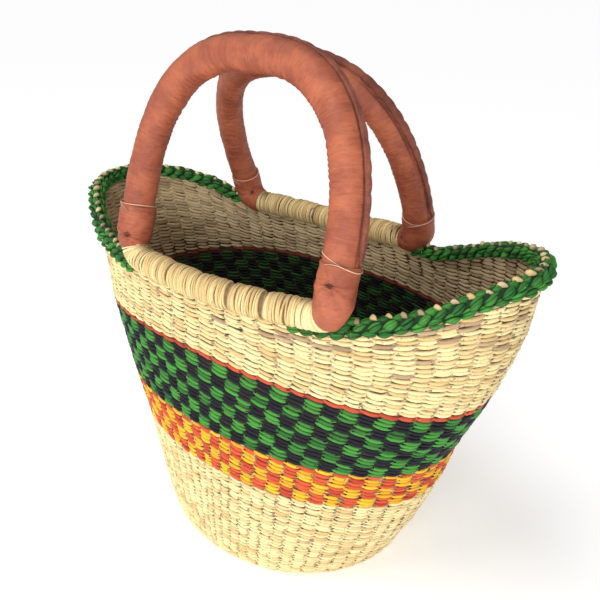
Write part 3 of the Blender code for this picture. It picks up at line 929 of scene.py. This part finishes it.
def lean_of(handle):
    """A handle's up direction, the one square to its plane, and the middle of its foot."""
    side, lean = handle.side, math.radians(handle.lean)
    up = np.array([0, -side * math.sin(lean), math.cos(lean)])
    across = np.array([0, -math.cos(lean), -side * math.sin(lean)])
    rim = FRONT_RIM_HEIGHT if side < 0 else REAR_RIM_HEIGHT
    foot = np.array([handle.centre, side * (MOUTH_WIDTH / 2 - HANDLE_INSET), rim + HANDLE_FOOT_RISE])
    return up, across, foot


def arch_at(handle, turn):
    """Points on the arch: turn 0 is its right shoulder, pi its left."""
    up, _, foot = lean_of(handle)
    turn = np.asarray(turn, float)
    along = HANDLE_SPAN / 2 * handle.span * signed_power(np.cos(turn), 2 / HANDLE_SQUARENESS)
    rise = HANDLE_SHOULDER + HANDLE_CROWN * np.maximum(np.sin(turn), 0.0) ** (2 / HANDLE_SQUARENESS)
    along = along + HANDLE_SWAY * handle.sway * (rise / HANDLE_RISE) ** 2
    return foot + along[..., None] * np.array([1.0, 0, 0]) + (rise * handle.rise)[..., None] * up


def elbow_at(handle, end, share):
    """Points on the bend from a roll's end, share 0, to the arch's shoulder, share 1."""
    up, _, _ = lean_of(handle)
    half = ROLL_LENGTH / 2
    places, *_ = roll_place(handle, np.array([half - 0.001, half + 0.001, half]) * end)
    start, start_way = places[2], unit(places[1] - places[0])
    finish = arch_at(handle, 0.0 if end > 0 else np.pi)
    reach = np.linalg.norm(finish - start) * ELBOW_ROUNDNESS
    second, third = start + start_way * reach, finish - up * reach
    share = np.asarray(share, float)[..., None]
    rest = 1 - share
    lower = rest ** 3 * start + 3 * rest ** 2 * share * second
    return lower + 3 * rest * share ** 2 * third + share ** 3 * finish


def turn_at(handle, end, rise):
    """The arch's turn at a height above the foot, on its right or left leg."""
    share = max(rise / handle.rise - HANDLE_SHOULDER, 0.0) / HANDLE_CROWN
    turn = math.asin(min(share ** (HANDLE_SQUARENESS / 2), 1.0))
    return turn if end > 0 else math.pi - turn


def cuff_mouth(handle, end):
    return (handle.left_cuff if end < 0 else handle.right_cuff) * HANDLE_RISE * handle.rise


def even_line(points, count):
    """The same line with its points evenly spaced."""
    lengths = distances(points)
    wanted = np.linspace(0, lengths[-1], count)
    return np.stack([np.interp(wanted, lengths, points[:, axis]) for axis in range(3)], axis=-1)


def line_axes(points, across):
    """Forward, outward and sideways directions along a line that lies in a plane."""
    forward = unit(np.gradient(points, axis=0))
    outward = unit(np.cross(forward, across))
    return forward, outward, unit(np.cross(outward, forward))


def spoke_at(outward, sideways, turn):
    """The direction from a line's points at a turn round it."""
    return outward * np.cos(turn)[:, None] + sideways * np.sin(turn)[:, None]


def arch_line(handle, past_cuffs, count):
    """Points along the arch, from a little past one cuff's mouth to the other's."""
    ends = [turn_at(handle, end, cuff_mouth(handle, end) + past_cuffs) for end in (1, -1)]
    return even_line(arch_at(handle, np.linspace(*ends, 500)), count)

# %% [markdown]
# ## Leather
#
# The handles are bound in thin terracotta sheepskin. It is matt with a soft shine where
# hands have rubbed it, and paler on its high places, which is wear and painted highlight
# together. It is darker in the low places of its wrinkles and in its creases, which is
# painted shade. It has a fine grain and faint wrinkles across the handle. Most of that
# comes from noise at three scales: patches of a few centimetres, wrinkles of a few
# millimetres, and the grain. The creases come from a mark that each sheet carries.

# %% Leather materials
def leather(name, light, dark, wear_and_highlight):
    """Leather in patches of two colours, paler on its wrinkles' tops, as wear and painted highlight, and with
    painted shade in their low places and in its creases.
    """
    paint = Paint(name)
    place = paint.node("ShaderNodeTexCoord", None, None, "Object")
    surface = paint.node("ShaderNodeUVMap", {"uv_map": "sheet"})
    crease = paint.node("ShaderNodeAttribute", {"attribute_name": "crease"}, None, "Fac")
    patches = paint.noise(place, 55.0, 4.0, 0.6)
    wrinkles = paint.noise(paint.stretched(surface, (0.60, 0.09, 1.0)), 1.0, 5.0, 0.68)
    grain = paint.noise(place, 1500.0, 2.0)
    colour = paint.mix(paint.smooth_step(patches, 0.36, 0.66), dark, light)
    # Paler on the wrinkles' high places: wear and painted highlight
    colour = paint.mix(paint.smooth_step(wrinkles, 0.52, 0.75) * 0.55, colour, wear_and_highlight)
    # Darker in the wrinkles' low places: painted shade
    colour = paint.mix(paint.smooth_step(wrinkles, 0.46, 0.30) * 0.45, colour, dim(dark, 0.55))
    # Darker in the creases, beside the seam and round the cuffs' holes: painted shade
    colour = paint.mix(paint.smooth_step(crease, 0.25, 1.0) * 0.85, colour, dim(dark, 0.22))
    rough = 0.50 + patches * 0.22 - wrinkles * 0.08
    height = wrinkles * 0.7 + grain * 0.12 + patches * 0.4
    return paint.set(colour=colour, roughness=rough, normal=paint.bump(height, 0.85, 0.0014))


LEATHER = leather("terracotta leather", (0.47, 0.122, 0.052), (0.32, 0.072, 0.033), (0.56, 0.195, 0.098))
SEAM_LEATHER = leather("brown leather", (0.35, 0.095, 0.050), (0.19, 0.042, 0.022), (0.45, 0.17, 0.095))

# %% [markdown]
# ## Wrapping a sheet
#
# The real leather is a flat strip wrapped round a stuffed core and closed with a seam on
# its outer side. The model is made the same way: a flat grid is added, and its points
# are moved round the curve, each at its own distance from the middle line. The grid's
# two long edges meet and are merged, and its ends are filled. The distance can then
# carry lumps, wrinkles and folds, worked out point by point.

# %% A grid wrapped round a line
def wrap_grid(name, around, along):
    """A flat grid, and the row and column of each of its points."""
    bpy.ops.object.select_all(action="DESELECT")
    bpy.ops.mesh.primitive_grid_add(x_subdivisions=around, y_subdivisions=along, size=2.0)
    piece = bpy.context.object
    piece.name = name
    piece.data.name = name
    flat = np.zeros(len(piece.data.vertices) * 3)
    piece.data.vertices.foreach_get("co", flat)
    flat = flat.reshape(-1, 3)
    column = np.rint((flat[:, 0] + 1) / 2 * around).astype(int)
    row = np.rint((flat[:, 1] + 1) / 2 * along).astype(int)
    return piece, row, column


def close_tube(piece):
    """Merge the seam, fill both ends and turn the faces outwards."""
    bpy.ops.object.mode_set(mode="EDIT")
    bpy.ops.mesh.select_all(action="SELECT")
    bpy.ops.mesh.remove_doubles(threshold=0.000002)
    bpy.ops.mesh.select_all(action="DESELECT")
    bpy.ops.mesh.select_non_manifold(extend=False)
    bpy.ops.mesh.fill_holes(sides=0)
    bpy.ops.mesh.select_all(action="SELECT")
    bpy.ops.mesh.normals_make_consistent(inside=False)
    bpy.ops.object.mode_set(mode="OBJECT")
    bpy.ops.object.shade_smooth_by_angle(angle=math.radians(50))


def wrap_sheet(name, line, across, radius, around, look, crease=None):
    """Leather round a line: radius(row, turn) gives each point's distance from it."""
    along = len(line) - 1
    _, outward, sideways = line_axes(line, across)
    piece, row, column = wrap_grid(name, around, along)
    turn = 2 * np.pi * (column % around) / around
    reach = radius(row, turn)
    points = line[row] + spoke_at(outward[row], sideways[row], turn) * reach[:, None]
    mesh = piece.data
    mesh.vertices.foreach_set("co", points.ravel())
    marks = np.zeros(len(points)) if crease is None else crease(row, turn)
    set_marks(mesh, "crease", marks)
    lengths = distances(line) * 1000
    corners = np.zeros(len(mesh.loops), int)
    mesh.loops.foreach_get("vertex_index", corners)
    flat = np.stack([lengths[row], column / around * 70.0], axis=-1)[corners]
    for layer in list(mesh.uv_layers):
        mesh.uv_layers.remove(layer)
    mesh.uv_layers.new(name="sheet").data.foreach_set("uv", flat.astype(np.float32).ravel())
    close_tube(piece)
    mesh.materials.append(look)
    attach(piece, BODY)
    print(name, len(mesh.polygons), "faces")
    return piece


def lumps(points, scale, seed):
    """Smooth noise from -1 to 1 at points, with bumps of about the given size."""
    shift = Vector((seed * 3.7, seed * 1.9, seed * 5.3))
    return np.array([noise.noise(Vector(point) / scale + shift) for point in points])


# %% [markdown]
# ## Handles in leather
#
# Seen close, a handle isn't a smooth pipe. The stuffing makes it a little uneven, and
# where it bends the leather on the inner side has nowhere to go, so it folds into short
# ridges across the handle. They are strongest at the two bends and fade on the legs.

# %% The two handles
AROUND = 32
ALONG = 360
FOLD_SPACING = 0.0045
FOLD_HEIGHT = 0.0010
RIPPLE_SPACING = 0.0024
RIPPLE_HEIGHT = 0.00030
# How far the arch's leather runs on under the cuffs
ARCH_TUCK = 0.006


def fold_strength(line):
    """How sharply a line bends at each of its points, from 0 to 1."""
    forward = unit(np.gradient(line, axis=0))
    bend = np.linalg.norm(np.gradient(forward, axis=0), axis=1)
    bend = np.convolve(np.pad(bend, 8, mode="edge"), np.ones(17) / 17, mode="valid")
    return np.clip(bend / np.percentile(bend, 85), 0.0, 1.0)


def handle_radius(line, across, seed):
    strength = fold_strength(line)
    _, outward, sideways = line_axes(line, across)
    spacing = np.linalg.norm(line[1] - line[0])

    def radius(row, turn):
        spots = line[row] + spoke_at(outward[row], sideways[row], turn) * HANDLE_THICKNESS / 2
        body = lumps(spots, 0.022, seed) * 0.00055 + lumps(spots, 0.009, seed + 1) * 0.00028
        inner = np.clip(0.15 - np.cos(turn + 0.35 * np.sin(row * 0.13)), 0.0, 1.0) ** 1.2
        place = row * spacing / FOLD_SPACING + lumps(spots, 0.016, seed + 2) * 1.6
        ridge = np.abs(np.sin(np.pi * place)) ** 0.7 - 0.6
        folds = ridge * inner * (0.20 + strength[row]) * FOLD_HEIGHT
        strip = np.stack([row * spacing / RIPPLE_SPACING, turn * 0.9, np.zeros(len(turn))], axis=-1)
        ripple = lumps(strip, 1.0, seed + 3) * RIPPLE_HEIGHT
        return HANDLE_THICKNESS / 2 + body + folds + ripple

    return radius


def seam_course(handle, share):
    """Where the seam runs: its turn from the outermost line, and its half width."""
    rear = handle.side > 0
    shoulder = np.exp(-((share - 0.28) / 0.16) ** 2)
    centre = -0.17 + 0.06 * np.sin(share * 11) + (0.10 * shoulder if rear else 0.0)
    half_width = 0.0029 + (0.0017 if rear else 0.0004) * shoulder
    return centre, half_width


def handle_creases(handle):
    """Painted shade: 1 in the grooves that run beside the seam, 0 elsewhere."""
    def crease(row, turn):
        centre, half_width = seam_course(handle, row / ALONG)
        away = np.abs(np.mod(turn - centre + np.pi, 2 * np.pi) - np.pi)
        beside = np.abs(away - half_width / (HANDLE_THICKNESS / 2) - 0.05)
        return np.clip(1.0 - beside / 0.16, 0.0, 1.0)

    return crease


for number, handle in enumerate(HANDLES):
    _, across, _ = lean_of(handle)
    line = arch_line(handle, -ARCH_TUCK, ALONG + 1)
    radius = handle_radius(line, across, 3 + number * 7)
    arch = wrap_sheet(f"leather_{handle.name}", line, across, radius, AROUND, LEATHER,
                      handle_creases(handle))
    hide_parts(f"handle_{handle.name}")

# %% [markdown]
# ## The laced seam
#
# The strip's edge is folded over on the outer side of the handle and sewn down with a
# wide zigzag, so it swells between the stitches and pinches at each one. It is a low,
# flat band with a scalloped edge, painted shade on its sides and a dark line of painted
# shade beside it. On the rear handle it is wider over the right shoulder, where the
# strip was cut broader.

# %% Seam flaps
SCALLOP = 0.0098
FLAP_HEIGHT = 0.0019
FLAP_SEAT = 0.0005
FLAP_ROWS = 240
FLAP_AROUND = 14


def flap_radius(line, handle, seed):
    spacing = np.linalg.norm(line[1] - line[0])

    def radius(row, turn):
        place = row * spacing / SCALLOP + lumps(line[row], 0.03, seed) * 0.5
        scallop = np.abs(np.sin(np.pi * place)) ** 0.6
        fade = np.clip(np.minimum(row, FLAP_ROWS - row) / 4, 0.25, 1.0)
        _, half_width = seam_course(handle, row / FLAP_ROWS)
        wide = half_width * (0.80 + 0.24 * scallop)
        high = FLAP_HEIGHT * (0.72 + 0.34 * scallop)
        return wide * high / np.hypot(wide * np.cos(turn), high * np.sin(turn)) * fade

    return radius


# Painted shade on the flap's two sides, where it meets the handle
def flap_crease(row, turn):
    return np.clip(np.abs(np.sin(turn)) * 1.6 - 0.85, 0.0, 1.0) * 0.8


for number, handle in enumerate(HANDLES):
    _, across, _ = lean_of(handle)
    line = arch_line(handle, 0.001, FLAP_ROWS + 1)
    forward, outward, sideways = line_axes(line, across)
    centre, _ = seam_course(handle, np.linspace(0, 1, len(line)))
    spoke = spoke_at(outward, sideways, centre)
    line = line + spoke * (HANDLE_THICKNESS / 2 + FLAP_SEAT)
    radius = flap_radius(line, handle, number)
    flap = wrap_sheet(f"seam_{handle.name}", line, np.cross(spoke, forward), radius, FLAP_AROUND,
                      SEAM_LEATHER, flap_crease)
    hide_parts(f"handle_seam_{handle.name}")

# %% [markdown]
# ## Rolls of straw on the rim
#
# Between the feet of a handle the rim is wound with straw, close and firm, in four or
# five goes. Each turn of straw is a strand laid round the roll, a bit askew, and the
# turns where one go ends and the next begins cross over each other and look darker: they
# get a darker tone, which is painted shade, and some are of weathered straw. Straw in
# painted shade inside the roll closes the gaps between the turns.

# %% Turns of straw
WRAPS = 98
WRAP_STATIONS = 18
WRAP_OVERLAP = 0.25
BUNDLES = 5
BUNDLE_PINCH = (0.0013, 0.0012)
JOINT_FROM = 0.86


def wind(name, points, forward, up, side, half_wide, half_high, askew, tone, strand, dyes):
    """Rings of straw round a thick line, one at each of its points."""
    count = len(points)
    turn = np.linspace(-0.5 * np.pi, 1.5 * np.pi + WRAP_OVERLAP, WRAP_STATIONS)
    turn = np.tile(turn, (count, 1))
    wide = (half_wide - strand[:, 0] * 0.6)[:, None] + chance.normal(0, 0.00012, turn.shape)
    high = (half_high - strand[:, 0] * 0.6)[:, None] + chance.normal(0, 0.00012, turn.shape)
    spoke_out, spoke_up = np.cos(turn), np.sin(turn)
    middle = points[:, None, :] + side[:, None, :] * (wide * spoke_out)[..., None]
    middle = middle + up[:, None, :] * (high * spoke_up)[..., None]
    slide = askew[:, 0:1] * spoke_out + askew[:, 1:2] * spoke_up
    middle = middle + forward[:, None, :] * slide[..., None]
    way = np.broadcast_to(forward[:, None, :], middle.shape)
    out = unit(side[:, None, :] * spoke_out[..., None] + up[:, None, :] * spoke_up[..., None])
    width = np.broadcast_to(strand[:, 0:1], turn.shape)
    depth = np.broadcast_to(strand[:, 1:2], turn.shape)
    return lay_strands(name, middle, way, out, width, depth, dyes, tone, STRAWS, 6)


for handle in HANDLES:
    core_of(f"rim_roll_{handle.name}", f"roll_core_{handle.name}", 0.0009, ROLL_SHADE)
    share = (np.arange(WRAPS) + 0.5) / WRAPS + chance.normal(0, 0.0007, WRAPS)
    point, forward, up, side = roll_place(handle, ROLL_LENGTH * (share - 0.5))
    pinch = 1 - np.abs(np.sin(np.pi * BUNDLES * share))
    joint = pinch > JOINT_FROM
    half_wide = ROLL_WIDTH / 2 - BUNDLE_PINCH[0] * pinch ** 2 + chance.normal(0, 0.00018, WRAPS)
    half_high = ROLL_HEIGHT / 2 - BUNDLE_PINCH[1] * pinch ** 2 + chance.normal(0, 0.00018, WRAPS)
    askew = chance.normal(0, 0.0004, (WRAPS, 2)) + np.outer(joint, (0.0020, 0.0010)) + (0.0014, 0.0)
    widths, depths = chance.normal(0.00078, 0.00006, WRAPS), chance.normal(0.00100, 0.00008, WRAPS)
    strand = np.stack([widths, depths], axis=-1)
    # A darker tone where the goes cross over: painted shade
    tone = np.clip(chance.beta(2.0, 2.0, WRAPS) + 0.18 + joint * 0.4, 0, 1)
    dyes = np.where(joint & (chance.random(WRAPS) < 0.6), DYE_AND_SHADE["mauve"], DYE_AND_SHADE["natural"])
    roll = wind(f"roll_{handle.name}", point, forward, up, side, half_wide, half_high, askew, tone,
                strand, dyes)
    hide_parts(f"rim_roll_{handle.name}")

# %% [markdown]
# ## The feet of the handles
#
# At each foot the straw winding runs on round the bend, and then a leather cuff takes
# over, drawn tight and tied off. The front cuffs start high up, so part of those bends
# shows straw. The rear ones are leather nearly down to the roll. Each cuff is one more
# sheet, wrapped round the bend, with creases that run towards a hole in the leather. The
# leather dips at the hole, and painted shade darkens the hole and the creases.

# %% Cuffs and the straw below them
CUFF_LEATHER = 0.0015
CUFF_ROWS = 71
CUFF_AROUND = 64
HOLE = 0.0021
GATHERS = 11
GATHER_REACH = 0.013

# Columns: handle, end, share of the bend where the leather starts, turns of straw, and the
# place of the hole that the leather is gathered round: a share of the cuff, and degrees
FEET = (
    (0, -1, 0.62, 15, 0.30, 250),
    (0, 1, 0.45, 16, 0.66, 78),
    (1, -1, 0.12, 6, 0.20, 200),
    (1, 1, 0.16, 7, 0.16, 128),
)


def foot_line(handle, end, first):
    """Points from a share of the bend up the leg to the cuff's mouth."""
    bend = elbow_at(handle, end, np.linspace(first, 1.0, 60))
    start = 0.0 if end > 0 else np.pi
    leg = arch_at(handle, np.linspace(start, turn_at(handle, end, cuff_mouth(handle, end)), 60)[1:])
    return even_line(np.concatenate([bend, leg]), CUFF_ROWS + 1)


def wrap_cuff(name, handle, end, first, hole_share, hole_angle, seed):
    """Leather round a foot, gathered round a hole."""
    _, across, _ = lean_of(handle)
    line = foot_line(handle, end, first)
    length = distances(line)[-1]
    low, high = ROLL_HEIGHT / 2 + 0.0008, HANDLE_THICKNESS / 2 + CUFF_LEATHER
    swell = low + (high - low) * np.clip(np.linspace(0, 1, len(line)) / 0.35, 0, 1)

    def from_hole(row, turn):
        """Distance and direction of a place on the cuff from its hole."""
        along = (row / CUFF_ROWS - hole_share) * length
        around = (np.mod(turn - hole_angle + np.pi, 2 * np.pi) - np.pi) * HANDLE_THICKNESS / 2
        return np.hypot(along, around), np.arctan2(around, along)

    def radius(row, turn):
        spots = line[row] + np.stack([np.cos(turn), np.sin(turn), turn * 0.3], axis=-1) * 0.01
        wrinkle = lumps(spots, 0.012, seed + 20) * 0.0007 + lumps(spots, 0.005, seed + 31) * 0.0003
        edge = np.clip(np.minimum(row, CUFF_ROWS - row) / 2, 0, 1)
        away, toward = from_hole(row, turn)
        rays = np.sin(toward * GATHERS + lumps(spots, 0.01, seed + 40) * 2)
        rays = rays * np.exp(-away / GATHER_REACH) * 0.00075
        dimple = -0.0016 * np.exp(-(away / (HOLE * 1.5)) ** 2)
        return swell[row] - 0.0005 * (1 - edge) + (wrinkle + rays + dimple) * edge

    # Painted shade in the hole and along the creases that run to it
    def crease(row, turn):
        away, toward = from_hole(row, turn)
        rays = np.clip(np.sin(toward * GATHERS + 3.6) - 0.3, 0, 1) * np.exp(-away / GATHER_REACH)
        return np.clip(1.3 * np.exp(-(away / HOLE) ** 2) + 0.8 * rays, 0, 1)

    return wrap_sheet(name, line, across * end, radius, CUFF_AROUND, LEATHER, crease)


def wind_foot(name, handle, end, first, turns):
    """Turns of straw round the bend, from the roll to a little way under the leather."""
    _, across, _ = lean_of(handle)
    share = np.linspace(-0.02, first + 0.10, turns)
    ahead = unit(elbow_at(handle, end, share + 0.02) - elbow_at(handle, end, share - 0.02))
    outward = unit(np.cross(ahead, across * end))
    side = unit(np.cross(outward, ahead))
    size = ROLL_WIDTH / 2 + 0.0004 + 0.0004 * share
    askew = chance.normal(0, 0.0005, (turns, 2))
    strand = np.stack([chance.normal(0.00105, 0.0001, turns), np.full(turns, 0.00085)], axis=-1)
    tone = np.clip(chance.beta(1.6, 2.2, turns), 0, 1)
    dyes = np.full(turns, DYE_AND_SHADE["natural"])
    point = elbow_at(handle, end, share)
    return wind(name, point, ahead, outward, side, size, size, askew, tone, strand, dyes)


for number, end, first, turns, hole_share, hole_turn in FEET:
    handle = HANDLES[number]
    foot = f"{handle.name}_{'right' if end > 0 else 'left'}"
    cuff = wrap_cuff(f"cuff_leather_{foot}", handle, end, first, hole_share, math.radians(hole_turn),
                     number * 2 + end)
    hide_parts(f"cuff_{foot}")
    wind_foot(f"foot_straw_{foot}", handle, end, first, turns)

# %% [markdown]
# ## Threads
#
# A thin waxed thread holds each cuff to the handle. It goes once round, not quite level,
# and its end is left to lie along the leather.

# %% Threads round the handles
THREAD = straw("waxed thread", (0.86, 0.58, 0.40), (0.72, 0.42, 0.27), (0.45, 0.26, 0.16), 0.62)
THREAD_HALF = 0.00036
THREAD_START = 0.8
THREAD_LAP = 1.1
THREAD_SLANTS = {"front_left": 0.0, "front_right": -0.0045, "rear_left": 0.0010, "rear_right": -0.0020}

for handle in HANDLES:
    _, across, _ = lean_of(handle)
    for end, end_name in ((-1, "left"), (1, "right")):
        foot = f"{handle.name}_{end_name}"
        turn = turn_at(handle, end, cuff_mouth(handle, end) + 0.0008)
        before, middle, after = arch_at(handle, np.array([turn - 0.01, turn, turn + 0.01]))
        forward = unit(after - before)
        outward = unit(np.cross(forward, across))
        sideways = np.cross(outward, forward)
        round_way = np.linspace(THREAD_START, THREAD_START + 2 * np.pi + THREAD_LAP, 34)
        tail = np.clip((round_way - THREAD_START - 2 * np.pi) / THREAD_LAP, 0, 1)
        climb = THREAD_SLANTS[foot] * end * (np.cos(round_way) - 0.3)
        climb = climb + 0.0005 * np.sin(round_way * 2 + handle.side) - 0.005 * tail ** 2 * end
        on_cuff = np.clip(0.4 - climb * end / 0.0012, 0, 1)
        reach = HANDLE_THICKNESS / 2 + 0.0004 + CUFF_LEATHER * on_cuff
        spoke = spoke_at(outward, sideways, round_way)
        line = (middle + spoke * reach[:, None] + forward * climb[:, None])[None]
        wide = np.full(line.shape[:2], THREAD_HALF)
        level = unit(np.cross(spoke, unit(np.gradient(line[0], axis=0))))
        tie = lay_strands(f"thread_{foot}", line, level[None], spoke[None], wide, wide,
                          np.zeros(1, int), np.array([0.3]), [THREAD], 6)
        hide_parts(f"tie_{foot}")
